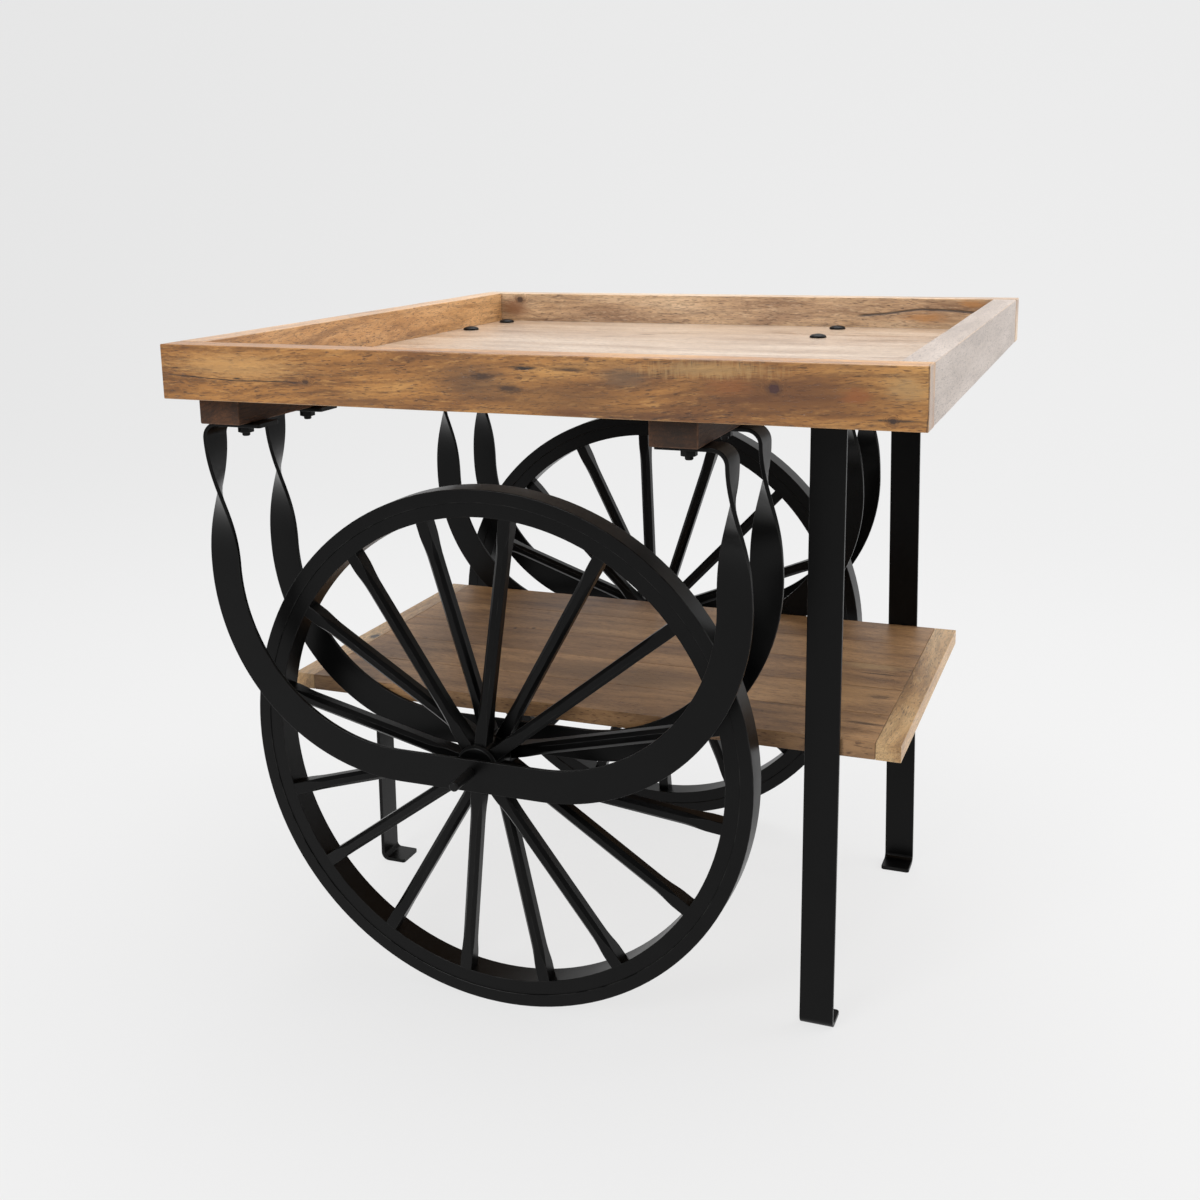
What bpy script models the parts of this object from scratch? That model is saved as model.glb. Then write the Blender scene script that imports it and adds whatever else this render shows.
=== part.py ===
"""Bar cart: a square wooden tray on two cross bearers, carried by four twisted
flat-bar straps, two spoked wheels and three flat-bar legs, with a shelf below.

Metres, Z up. X runs along the long front rail, Y runs from the front to the
back, and the origin is on the floor under the middle of the tray."""

import math

import bmesh
import bpy
from mathutils import Vector

# Clearance left between pieces that touch.
GAP = 0.0003

# Tray: four rails butted at the corners round six boards.
TRAY_X = 0.900
TRAY_Y = 0.890
TRAY_TOP = 0.860
RAIL_H = 0.066
RAIL_T = 0.035
RAIL_EDGE = 0.0015
BOARD_COUNT = 6
BOARD_T = 0.019
BOARD_EDGE = 0.0006
TRAY_BOTTOM = TRAY_TOP - RAIL_H
BOARD_TOP = TRAY_BOTTOM + BOARD_T

# Cross bearers under the tray.
BEARER_X = (-0.3975, 0.1780)
BEARER_W = 0.057
BEARER_H = 0.034
BEARER_HALF_Y = 0.412
BEARER_EDGE = 0.0015
BEARER_TOP = TRAY_BOTTOM - GAP
BEARER_BOTTOM = BEARER_TOP - BEARER_H

# Wheels and their axles, which run front to back.
AXLE_X = -0.098
WHEEL_R = 0.340
WHEEL_Y = 0.303
WHEEL_SEGMENTS = 64
TYRE_T = 0.0162
TYRE_HALF_W = 0.0175
FELLOE_T = 0.0185
FELLOE_HALF_W = 0.0162
RIM_CHAMFER = 0.002
FELLOE_R = WHEEL_R - TYRE_T - GAP
RIM_INNER_R = FELLOE_R - FELLOE_T
SPOKE_COUNT = 16
SPOKE_W = 0.016
SPOKE_D = 0.020
SPOKE_CHAMFER = 0.0045
SPOKE_EDGE = 0.0006
SPOKE_END_R = RIM_INNER_R - 0.0009
SPOKE_RIM_OUTSET = 0.006
HUB_R = 0.0275
HUB_HALF_W = 0.034
HUB_EDGE = 0.002
HUB_SEGMENTS = 32

# Spokes are set by hand in two rows, odd ones in the hub's outer row. The hub sits
# outside the rim's middle on the near wheel. Stray is in degrees from even spacing.
HUB_ROW_Y = 0.0195
HUB_OUTSET = {"near": 0.0225, "far": 0.0}
SPOKE_START = {"near": 14.0, "far": 2.0}
SPOKE_STRAY = {
    "near": (-0.5, 1.5, 1.5, 3.0, 2.0, 1.0, -1.5, -1.0, 2.5, 0.0, 0.0, -0.5, -2.0, -4.0, -2.0, -1.5),
    "far": (0.0, -2.0, -0.5, 1.5, 1.5, 0.5, 0.0, 0.0, 0.0, 0.0, 0.0, 0.0, 0.0, 0.0, 0.0, 0.0),
}

AXLE_R = 0.006
AXLE_HOLE_R = 0.0063
AXLE_OUTER_Y = 0.420
AXLE_INNER_Y = 0.220
AXLE_TIP = 0.0012
SLEEVE_R = 0.011
ROUND_SEGMENTS = 24
AXLE_NUT_AF = 0.019
AXLE_NUT_H = 0.010

# Straps: flat bar bent to a deep U, with a quarter twist at the top of each arm.
BAR_T = 0.005
STRAP_W = 0.0415
STRAP_OUTER_Y = 0.373
STRAP_INNER_Y = 0.239
STRAP_BOTTOM = 0.336
STRAP_LEFT_X = {"near_outer": -0.4325, "near_inner": -0.4375, "far_inner": -0.4400, "far_outer": -0.4400}
STRAP_RIGHT_X = 0.235
STRAP_CORNER_R = 0.240
STRAP_LEAN = -0.003
STRAP_BEND_R = 0.018
STRAP_TWIST_LOW = STRAP_BOTTOM + STRAP_CORNER_R
STRAP_TWIST_STEPS = 12
STRAP_CORNER_STEPS = 12
STRAP_BEND_STEPS = 5
STRAP_TAB_PAST_BOLT = 0.034
END_ROUND = 0.004

# Bolts through board, bearer and strap.
BOLT_X = (-0.389, 0.183)
BOLT_R = 0.0048
BOLT_HOLE_R = 0.0055
BOLT_HEAD_R = 0.0125
BOLT_HEAD_H = 0.0055
BOLT_TAIL = 0.0045
BOLT_SEGMENTS = 16
NUT_AF = 0.017
NUT_H = 0.0085

# Legs: flat bar with a foot and a top tab, both bent towards the middle.
LEG_W = 0.0425
LEG_T = 0.0055
LEG_BEND_R = 0.0095
LEG_BEND_STEPS = 5
LEG_FACE_Y = 0.2415
LEG_NEAR_X = 0.3015
LEG_NEAR_LEAN = 0.006
LEG_FAR_X = 0.3220
LEG_FAR_LEAN = -0.007
LEG_FOOT = 0.040
LEG_TAB = 0.060
END_LEG_FACE_X = -0.448
END_LEG_LEAN = 0.004
END_LEG_TAB = 0.055

# Shelf: five boards between two cleats.
SHELF_BOTTOM = 0.3625
SHELF_T = 0.0215
SHELF_LEFT = -0.438
SHELF_RIGHT = 0.398
SHELF_HALF_Y = 0.2345
SHELF_CLEAT = 0.031
SHELF_BOARDS = 5
SHELF_EDGE = 0.001

# Angle brackets that hold the shelf to the two side legs.
BRACKET_W = 0.030
BRACKET_T = 0.003
BRACKET_LEG = 0.030
BRACKET_BEND_R = 0.004
BRACKET_STEPS = 3

MANGO = (0.43, 0.24, 0.10)
MANGO_PALE = (0.52, 0.32, 0.16)
SHELF_WOOD = (0.26, 0.15, 0.08)
BEARER_WOOD = (0.07, 0.035, 0.018)
BLACK_IRON = (0.012, 0.012, 0.013)


for leftover in list(bpy.data.objects):
    bpy.data.objects.remove(leftover)

CART = bpy.data.collections.new("bar_cart")
CUTTERS = bpy.data.collections.new("cutters")
bpy.context.scene.collection.children.link(CART)
bpy.context.scene.collection.children.link(CUTTERS)


def finish(name, mesh_data, colour, roughness, metallic, origin=(0.0, 0.0, 0.0)):
    """Makes the bmesh a named object of the cart with its own material."""
    bmesh.ops.recalc_face_normals(mesh_data, faces=mesh_data.faces)
    mesh = bpy.data.meshes.new(name)
    mesh_data.to_mesh(mesh)
    mesh_data.free()
    item = bpy.data.objects.new(name, mesh)
    item.location = origin
    material = bpy.data.materials.new(name)
    material.use_nodes = True
    surface = material.node_tree.nodes["Principled BSDF"]
    surface.inputs["Base Color"].default_value = (*colour, 1.0)
    surface.inputs["Roughness"].default_value = roughness
    surface.inputs["Metallic"].default_value = metallic
    mesh.materials.append(material)
    CART.objects.link(item)
    return item


def iron(name, mesh_data, origin=(0.0, 0.0, 0.0)):
    return finish(name, mesh_data, BLACK_IRON, 0.45, 0.6, origin)


def wood(name, mesh_data, colour):
    return finish(name, mesh_data, colour, 0.6, 0.0)


def smooth(item):
    """Shades a round piece smooth, keeping its sharp edges."""
    item.data.shade_smooth()
    item.data.set_sharp_from_angle(angle=math.radians(35.0))


def helper(name, mesh_data):
    """A cutter or a part-built shape that only feeds a Boolean."""
    bmesh.ops.recalc_face_normals(mesh_data, faces=mesh_data.faces)
    mesh = bpy.data.meshes.new(name)
    mesh_data.to_mesh(mesh)
    mesh_data.free()
    item = bpy.data.objects.new(name, mesh)
    item.hide_render = True
    item.display_type = "WIRE"
    CUTTERS.objects.link(item)
    return item


def boolean(item, other, operation):
    modifier = item.modifiers.new(other.name, "BOOLEAN")
    modifier.operation = operation
    modifier.solver = "EXACT"
    modifier.object = other


def block(low, high, edge):
    """A box between two corners with its edges eased."""
    shape = bmesh.new()
    bmesh.ops.create_cube(shape, size=1.0)
    size = Vector(high) - Vector(low)
    middle = (Vector(high) + Vector(low)) / 2.0
    bmesh.ops.scale(shape, vec=size, verts=shape.verts)
    bmesh.ops.translate(shape, vec=middle, verts=shape.verts)
    bmesh.ops.bevel(
        shape, geom=shape.edges[:], offset=edge, offset_type="OFFSET",
        segments=1, profile=0.5, affect="EDGES", material=-1,
    )
    return shape


def turned(outline, axis, segments, closed):
    """Spins an outline of (radius, height) pairs round Y or Z. A closed outline
    makes a ring, and an open one starts and ends on the axis."""
    shape = bmesh.new()
    if axis == "Y":
        points = [(radius, height, 0.0) for radius, height in outline]
        direction = (0.0, 1.0, 0.0)
    else:
        points = [(radius, 0.0, height) for radius, height in outline]
        direction = (0.0, 0.0, 1.0)
    verts = [shape.verts.new(point) for point in points]
    pairs = list(zip(verts, verts[1:]))
    if closed:
        pairs.append((verts[-1], verts[0]))
    edges = [shape.edges.new(pair) for pair in pairs]
    bmesh.ops.spin(
        shape, geom=verts + edges, cent=(0.0, 0.0, 0.0), axis=direction,
        angle=2.0 * math.pi, steps=segments, use_merge=True, use_duplicate=False,
    )
    bmesh.ops.remove_doubles(shape, verts=shape.verts, dist=0.00001)
    return shape


def moved(shape, offset):
    bmesh.ops.translate(shape, vec=offset, verts=shape.verts)
    return shape


def loft(sections):
    """Joins equal closed loops of points into one capped solid."""
    shape = bmesh.new()
    rings = [[shape.verts.new(point) for point in section] for section in sections]
    count = len(rings[0])
    for first, second in zip(rings, rings[1:]):
        for i in range(count):
            j = (i + 1) % count
            shape.faces.new((first[i], first[j], second[j], second[i]))
    shape.faces.new(rings[0])
    shape.faces.new(reversed(rings[-1]))
    return shape


def flat_bar(stations, thickness):
    """A rectangular bar through (centre, direction, width vector) stations. The
    length of the width vector is half of the bar's width there."""
    sections = []
    for centre, direction, half_width in stations:
        across = Vector(half_width)
        through = Vector(direction).cross(across).normalized() * (thickness / 2.0)
        middle = Vector(centre)
        sections.append([
            middle + across + through,
            middle - across + through,
            middle - across - through,
            middle + across - through,
        ])
    return loft(sections)


def rounded_end(tip, inward, across):
    """Stations from a bar's free end inwards, with the end's corners rounded."""
    across = Vector(across)
    inward = Vector(inward)
    stations = []
    for cut, run in ((END_ROUND, 0.0), (END_ROUND * 0.3, END_ROUND * 0.3), (0.0, END_ROUND)):
        half = across.normalized() * (across.length - cut)
        stations.append((Vector(tip) + inward * run, inward, half))
    return stations


def flipped(stations):
    """The same stations walked the other way."""
    return [(centre, -direction, across) for centre, direction, across in reversed(stations)]


# Shared holes: one drill per bolt, and one per axle.
bolt_drills = {}
for side, bolt_x in zip(("left", "right"), BOLT_X):
    for place, bolt_y in (
        ("near_outer", -STRAP_OUTER_Y), ("near_inner", -STRAP_INNER_Y),
        ("far_inner", STRAP_INNER_Y), ("far_outer", STRAP_OUTER_Y),
    ):
        drill = bmesh.new()
        bmesh.ops.create_cone(
            drill, cap_ends=True, segments=BOLT_SEGMENTS, radius1=BOLT_HOLE_R,
            radius2=BOLT_HOLE_R, depth=RAIL_H + BEARER_H,
        )
        moved(drill, (bolt_x, bolt_y, BEARER_BOTTOM + BEARER_H / 2.0))
        bolt_drills[side, place] = helper(f"drill_{side}_{place}", drill)

axle_drills = {}
for end, sign in (("near", -1.0), ("far", 1.0)):
    drill = turned(
        [(0.0, -0.12), (AXLE_HOLE_R, -0.12), (AXLE_HOLE_R, 0.12), (0.0, 0.12)],
        "Y", ROUND_SEGMENTS, False,
    )
    moved(drill, (AXLE_X, sign * WHEEL_Y, WHEEL_R))
    axle_drills[end] = helper(f"drill_axle_{end}", drill)

# Tray rails: the front and back rails run full length, the side rails fit between.
half_x = TRAY_X / 2.0
half_y = TRAY_Y / 2.0
for end, sign in (("front", -1.0), ("back", 1.0)):
    ys = sorted((sign * half_y, sign * (half_y - RAIL_T)))
    shape = block((-half_x, ys[0], TRAY_BOTTOM), (half_x, ys[1], TRAY_TOP), RAIL_EDGE)
    wood(f"tray_{end}_rail", shape, MANGO)
side_y = half_y - RAIL_T - GAP
for end, sign in (("left", -1.0), ("right", 1.0)):
    xs = sorted((sign * half_x, sign * (half_x - RAIL_T)))
    shape = block((xs[0], -side_y, TRAY_BOTTOM), (xs[1], side_y, TRAY_TOP), RAIL_EDGE)
    wood(f"tray_{end}_rail", shape, MANGO)

# Tray boards, side by side from front to back.
board_x = half_x - RAIL_T - GAP
pitch = 2.0 * side_y / BOARD_COUNT
for index in range(BOARD_COUNT):
    low_y = -side_y + index * pitch + GAP / 2.0
    high_y = low_y + pitch - GAP
    board = wood(
        f"tray_board_{index + 1}",
        block((-board_x, low_y, TRAY_BOTTOM), (board_x, high_y, BOARD_TOP), BOARD_EDGE),
        MANGO_PALE,
    )
    for drill in bolt_drills.values():
        drill_y = drill.bound_box[0][1] + BOLT_HOLE_R
        if low_y < drill_y < high_y:
            boolean(board, drill, "DIFFERENCE")

# Cross bearers.
for side, middle in zip(("left", "right"), BEARER_X):
    bearer = wood(
        f"bearer_{side}",
        block(
            (middle - BEARER_W / 2.0, -BEARER_HALF_Y, BEARER_BOTTOM),
            (middle + BEARER_W / 2.0, BEARER_HALF_Y, BEARER_TOP), BEARER_EDGE,
        ),
        BEARER_WOOD,
    )
    for place in ("near_outer", "near_inner", "far_inner", "far_outer"):
        boolean(bearer, bolt_drills[side, place], "DIFFERENCE")


# Straps: tab, bend, twisted arm, corner, flat bottom, and the same up the other side.
TAB_Z = BEARER_BOTTOM - GAP - BAR_T / 2.0
ARM_TOP = TAB_Z - STRAP_BEND_R


def twist_at(height):
    """Turn of the bar, nought under the bend and a quarter turn at the bottom."""
    run = (ARM_TOP - height) / (ARM_TOP - STRAP_TWIST_LOW)
    run = min(max(run, 0.0), 1.0)
    return (3.0 - 2.0 * run) * run * run * math.pi / 2.0


def strap_side(sign, arm_x, strap_y, tab_end):
    """Stations from the tab's free end down to the bottom of the U. The sign is
    -1 for the arm at low X and 1 for the other; both arms twist the same way, and
    both lean the same way towards the top."""
    half = STRAP_W / 2.0
    flat = Vector((0.0, -sign * half, 0.0))
    stations = rounded_end((tab_end, strap_y, TAB_Z), (sign, 0.0, 0.0), flat)
    bend_x = arm_x + STRAP_LEAN - sign * STRAP_BEND_R
    for step in range(STRAP_BEND_STEPS + 1):
        turn = step / STRAP_BEND_STEPS * math.pi / 2.0
        point = (
            bend_x + sign * STRAP_BEND_R * math.sin(turn), strap_y,
            ARM_TOP + STRAP_BEND_R * math.cos(turn),
        )
        direction = Vector((sign * math.cos(turn), 0.0, -math.sin(turn)))
        stations.append((point, direction, flat))
    down = Vector((0.0, 0.0, -1.0))
    for step in range(1, STRAP_TWIST_STEPS + 1):
        share = step / STRAP_TWIST_STEPS
        height = ARM_TOP + (STRAP_TWIST_LOW - ARM_TOP) * share
        turn = twist_at(height)
        across = Vector((sign * math.sin(turn), -sign * math.cos(turn), 0.0)) * half
        stations.append(((arm_x + STRAP_LEAN * (1.0 - share), strap_y, height), down, across))
    corner_x = arm_x - sign * STRAP_CORNER_R
    corner_z = STRAP_BOTTOM + STRAP_CORNER_R
    for step in range(1, STRAP_CORNER_STEPS + 1):
        turn = step / STRAP_CORNER_STEPS * math.pi / 2.0
        outward = Vector((sign * math.cos(turn), 0.0, -math.sin(turn)))
        point = Vector((corner_x, strap_y, corner_z)) + outward * STRAP_CORNER_R
        direction = Vector((-sign * math.sin(turn), 0.0, -math.cos(turn)))
        stations.append((point, direction, outward * half))
    return stations


for place, strap_y, end in (
    ("near_outer", -STRAP_OUTER_Y, "near"), ("near_inner", -STRAP_INNER_Y, "near"),
    ("far_inner", STRAP_INNER_Y, "far"), ("far_outer", STRAP_OUTER_Y, "far"),
):
    left_half = strap_side(-1.0, STRAP_LEFT_X[place], strap_y, BOLT_X[0] + STRAP_TAB_PAST_BOLT)
    right_half = strap_side(1.0, STRAP_RIGHT_X, strap_y, BOLT_X[1] - STRAP_TAB_PAST_BOLT)
    strap = iron(f"strap_{place}", flat_bar(left_half + flipped(right_half), BAR_T))
    boolean(strap, bolt_drills["left", place], "DIFFERENCE")
    boolean(strap, bolt_drills["right", place], "DIFFERENCE")
    boolean(strap, axle_drills[end], "DIFFERENCE")

# Bolts with domed heads on the boards, and a nut under each strap tab.
bolt_top = BOARD_TOP + GAP
nut_top = BEARER_BOTTOM - GAP - BAR_T - GAP
bolt_end = nut_top - NUT_H - BOLT_TAIL
bolt_outline = [
    (0.0, bolt_top + BOLT_HEAD_H),
    (BOLT_HEAD_R * 0.55, bolt_top + BOLT_HEAD_H * 0.84),
    (BOLT_HEAD_R * 0.88, bolt_top + BOLT_HEAD_H * 0.42),
    (BOLT_HEAD_R, bolt_top),
    (BOLT_R, bolt_top),
    (BOLT_R, bolt_end + 0.001),
    (BOLT_R - 0.001, bolt_end),
    (0.0, bolt_end),
]
for (side, place), drill in bolt_drills.items():
    bolt_x = BOLT_X[0] if side == "left" else BOLT_X[1]
    bolt_y = STRAP_OUTER_Y if "outer" in place else STRAP_INNER_Y
    if place.startswith("near"):
        bolt_y = -bolt_y
    bolt = iron(
        f"bolt_{side}_{place}",
        moved(turned(bolt_outline, "Z", BOLT_SEGMENTS, False), (bolt_x, bolt_y, 0.0)),
    )
    smooth(bolt)
    nut = bmesh.new()
    bmesh.ops.create_cone(
        nut, cap_ends=True, segments=6, radius1=NUT_AF / math.sqrt(3.0),
        radius2=NUT_AF / math.sqrt(3.0), depth=NUT_H,
    )
    moved(nut, (bolt_x, bolt_y, nut_top - NUT_H / 2.0))
    boolean(iron(f"nut_{side}_{place}", nut), drill, "DIFFERENCE")

# Wheels: hub and spokes in one piece, inside a felloe, inside a tyre.
felloe_outline = [
    (RIM_INNER_R, -FELLOE_HALF_W + RIM_CHAMFER),
    (RIM_INNER_R + RIM_CHAMFER, -FELLOE_HALF_W),
    (FELLOE_R - RIM_CHAMFER, -FELLOE_HALF_W),
    (FELLOE_R, -FELLOE_HALF_W + RIM_CHAMFER),
    (FELLOE_R, FELLOE_HALF_W - RIM_CHAMFER),
    (FELLOE_R - RIM_CHAMFER, FELLOE_HALF_W),
    (RIM_INNER_R + RIM_CHAMFER, FELLOE_HALF_W),
    (RIM_INNER_R, FELLOE_HALF_W - RIM_CHAMFER),
]
tyre_inner_r = FELLOE_R + GAP
tyre_outline = [
    (tyre_inner_r, -TYRE_HALF_W + RIM_CHAMFER),
    (tyre_inner_r + RIM_CHAMFER, -TYRE_HALF_W),
    (WHEEL_R - RIM_CHAMFER, -TYRE_HALF_W),
    (WHEEL_R, -TYRE_HALF_W + RIM_CHAMFER),
    (WHEEL_R, TYRE_HALF_W - RIM_CHAMFER),
    (WHEEL_R - RIM_CHAMFER, TYRE_HALF_W),
    (tyre_inner_r + RIM_CHAMFER, TYRE_HALF_W),
    (tyre_inner_r, TYRE_HALF_W - RIM_CHAMFER),
]


def spoke_section(radius, angle, middle_y, cut):
    """One eight-sided section across a spoke, square but for its cut corners."""
    along = Vector((math.cos(angle), 0.0, math.sin(angle)))
    side = Vector((-math.sin(angle), 0.0, math.cos(angle)))
    wide = SPOKE_W / 2.0
    deep = SPOKE_D / 2.0
    corners = [
        (wide, deep - cut), (wide - cut, deep), (cut - wide, deep), (-wide, deep - cut),
        (-wide, cut - deep), (cut - wide, -deep), (wide - cut, -deep), (wide, cut - deep),
    ]
    centre = along * radius + Vector((0.0, middle_y, 0.0))
    return [centre + side * u + Vector((0.0, v, 0.0)) for u, v in corners]


spoke_stations = [
    (HUB_R - 0.005, SPOKE_EDGE), (0.050, SPOKE_EDGE), (0.080, SPOKE_CHAMFER),
    (0.260, SPOKE_CHAMFER), (0.286, SPOKE_EDGE), (SPOKE_END_R, SPOKE_EDGE),
]
for end, sign in (("near", -1.0), ("far", 1.0)):
    centre = Vector((AXLE_X, sign * WHEEL_Y, WHEEL_R))
    hub_y = sign * HUB_OUTSET[end]
    hub = iron(
        f"wheel_{end}_hub_spokes",
        turned(
            [
                (0.0, hub_y - HUB_HALF_W), (HUB_R - HUB_EDGE, hub_y - HUB_HALF_W),
                (HUB_R, hub_y - HUB_HALF_W + HUB_EDGE), (HUB_R, hub_y + HUB_HALF_W - HUB_EDGE),
                (HUB_R - HUB_EDGE, hub_y + HUB_HALF_W), (0.0, hub_y + HUB_HALF_W),
            ],
            "Y", HUB_SEGMENTS, False,
        ),
        centre,
    )
    spokes = bmesh.new()
    rim_y = sign * SPOKE_RIM_OUTSET
    for index, stray in enumerate(SPOKE_STRAY[end]):
        angle = math.radians(SPOKE_START[end] + index * 360.0 / SPOKE_COUNT + stray)
        row_y = hub_y + sign * HUB_ROW_Y * (1.0 if index % 2 else -1.0)
        spoke = loft([
            spoke_section(r, angle, row_y + (rim_y - row_y) * r / SPOKE_END_R, cut)
            for r, cut in spoke_stations
        ])
        carrier = bpy.data.meshes.new("spoke")
        spoke.to_mesh(carrier)
        spoke.free()
        spokes.from_mesh(carrier)
        bpy.data.meshes.remove(carrier)
    spokes_item = helper(f"spokes_{end}", spokes)
    spokes_item.location = centre
    boolean(hub, spokes_item, "UNION")
    boolean(hub, axle_drills[end], "DIFFERENCE")
    felloe = iron(
        f"wheel_{end}_felloe", turned(felloe_outline, "Y", WHEEL_SEGMENTS, True), centre,
    )
    smooth(felloe)
    tyre = iron(
        f"wheel_{end}_tyre", turned(tyre_outline, "Y", WHEEL_SEGMENTS, True), centre,
    )
    smooth(tyre)

    # The fixed axle rod, its nut behind the inner strap, and a sleeve each side of the hub.
    hub_middle = WHEEL_Y + HUB_OUTSET[end]
    half_length = (AXLE_OUTER_Y - AXLE_INNER_Y) / 2.0
    rod = turned(
        [
            (0.0, -half_length), (AXLE_R - AXLE_TIP, -half_length),
            (AXLE_R, AXLE_TIP - half_length), (AXLE_R, half_length - AXLE_TIP),
            (AXLE_R - AXLE_TIP, half_length), (0.0, half_length),
        ],
        "Y", ROUND_SEGMENTS, False,
    )
    rod_y = sign * (AXLE_OUTER_Y + AXLE_INNER_Y) / 2.0
    smooth(iron(f"axle_{end}", moved(rod, (AXLE_X, rod_y, WHEEL_R))))
    for name, start, stop in (
        ("outer", hub_middle + HUB_HALF_W + GAP, STRAP_OUTER_Y - BAR_T / 2.0 - GAP),
        ("inner", STRAP_INNER_Y + BAR_T / 2.0 + GAP, hub_middle - HUB_HALF_W - GAP),
    ):
        sleeve = turned(
            [(AXLE_HOLE_R, start), (SLEEVE_R, start), (SLEEVE_R, stop), (AXLE_HOLE_R, stop)],
            "Y", ROUND_SEGMENTS, True,
        )
        if sign < 0.0:
            bmesh.ops.scale(sleeve, vec=(1.0, -1.0, 1.0), verts=sleeve.verts)
        smooth(iron(f"sleeve_{end}_{name}", moved(sleeve, (AXLE_X, 0.0, WHEEL_R))))
    nut_outline_r = AXLE_NUT_AF / math.sqrt(3.0)
    nut_y = STRAP_INNER_Y - BAR_T / 2.0 - GAP - AXLE_NUT_H / 2.0
    nut_ring = turned(
        [
            (0.0, -AXLE_NUT_H / 2.0), (nut_outline_r, -AXLE_NUT_H / 2.0),
            (nut_outline_r, AXLE_NUT_H / 2.0), (0.0, AXLE_NUT_H / 2.0),
        ],
        "Y", 6, False,
    )
    axle_nut = iron(
        f"axle_nut_{end}", moved(nut_ring, (AXLE_X, sign * nut_y, WHEEL_R)),
    )
    boolean(axle_nut, axle_drills[end], "DIFFERENCE")


def leg_stations(face, lean, inward, width_direction, top, tab):
    """Stations of a leg that stands on a bent foot and ends in a bent top tab. The
    face is the outer face of the upright at the floor, lean is the shift of its top,
    and inward points to the bends' side."""
    inward = Vector(inward)
    across = Vector(width_direction) * (LEG_W / 2.0)
    up = Vector((0.0, 0.0, 1.0))
    base = Vector(face)
    crown = base + Vector(lean)
    lift = LEG_T / 2.0
    radius = LEG_BEND_R
    corner = LEG_BEND_R + lift
    tip = base + inward * LEG_FOOT + up * lift
    stations = rounded_end(tip, -inward, across)
    low = base + (inward + up) * corner
    for step in range(LEG_BEND_STEPS + 1):
        turn = step / LEG_BEND_STEPS * math.pi / 2.0
        point = low - inward * radius * math.sin(turn) - up * radius * math.cos(turn)
        direction = up * math.sin(turn) - inward * math.cos(turn)
        stations.append((point, direction, across))
    high = crown + inward * corner + up * (top - corner)
    for step in range(LEG_BEND_STEPS + 1):
        turn = step / LEG_BEND_STEPS * math.pi / 2.0
        point = high - inward * radius * math.cos(turn) + up * radius * math.sin(turn)
        direction = up * math.cos(turn) + inward * math.sin(turn)
        stations.append((point, direction, across))
    end = crown + inward * tab + up * (top - lift)
    return stations + flipped(rounded_end(end, -inward, across))


# Side legs, from the floor to the underside of the tray boards.
for end, sign, leg_x, lean in (
    ("near", -1.0, LEG_NEAR_X, LEG_NEAR_LEAN), ("far", 1.0, LEG_FAR_X, LEG_FAR_LEAN),
):
    stations = leg_stations(
        (leg_x, sign * LEG_FACE_Y, 0.0), (lean, 0.0, 0.0), (0.0, -sign, 0.0),
        (1.0, 0.0, 0.0), TRAY_BOTTOM - GAP, LEG_TAB,
    )
    iron(f"leg_right_{end}", flat_bar(stations, LEG_T))

# End leg, from the floor to the underside of the shelf.
stations = leg_stations(
    (END_LEG_FACE_X, 0.0, 0.0), (END_LEG_LEAN, 0.0, 0.0), (1.0, 0.0, 0.0),
    (0.0, 1.0, 0.0), SHELF_BOTTOM - GAP, END_LEG_TAB,
)
iron("leg_left", flat_bar(stations, LEG_T))

# Shelf boards between the two end cleats.
shelf_top = SHELF_BOTTOM + SHELF_T
shelf_pitch = 2.0 * SHELF_HALF_Y / SHELF_BOARDS
inner_left = SHELF_LEFT + SHELF_CLEAT + GAP
inner_right = SHELF_RIGHT - SHELF_CLEAT - GAP
for index in range(SHELF_BOARDS):
    low_y = -SHELF_HALF_Y + index * shelf_pitch
    high_y = low_y + shelf_pitch
    if index > 0:
        low_y += GAP / 2.0
    if index < SHELF_BOARDS - 1:
        high_y -= GAP / 2.0
    shape = block((inner_left, low_y, SHELF_BOTTOM), (inner_right, high_y, shelf_top), BOARD_EDGE)
    wood(f"shelf_board_{index + 1}", shape, SHELF_WOOD)
for end, low_x, high_x in (
    ("left", SHELF_LEFT, SHELF_LEFT + SHELF_CLEAT),
    ("right", SHELF_RIGHT - SHELF_CLEAT, SHELF_RIGHT),
):
    shape = block(
        (low_x, -SHELF_HALF_Y, SHELF_BOTTOM), (high_x, SHELF_HALF_Y, shelf_top), SHELF_EDGE,
    )
    wood(f"shelf_cleat_{end}", shape, SHELF_WOOD)

# Angle brackets on the inner faces of the side legs, under the shelf.
for end, sign, leg_x in (("near", -1.0, LEG_NEAR_X), ("far", 1.0, LEG_FAR_X)):
    inward = Vector((0.0, -sign, 0.0))
    up = Vector((0.0, 0.0, 1.0))
    across = Vector((BRACKET_W / 2.0, 0.0, 0.0))
    face = Vector((leg_x, sign * (LEG_FACE_Y - LEG_T - GAP), SHELF_BOTTOM - GAP))
    lift = BRACKET_T / 2.0
    stations = [(face + inward * lift - up * BRACKET_LEG, up, across)]
    pivot = face + (inward - up) * (BRACKET_BEND_R + lift)
    for step in range(BRACKET_STEPS + 1):
        turn = step / BRACKET_STEPS * math.pi / 2.0
        arm = up * math.sin(turn) - inward * math.cos(turn)
        direction = up * math.cos(turn) + inward * math.sin(turn)
        stations.append((pivot + arm * BRACKET_BEND_R, direction, across))
    stations.append((face + inward * BRACKET_LEG - up * lift, inward, across))
    iron(f"shelf_bracket_{end}", flat_bar(stations, BRACKET_T))
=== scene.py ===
import math

import bmesh
import bpy
from mathutils import Matrix, Vector, noise


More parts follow.
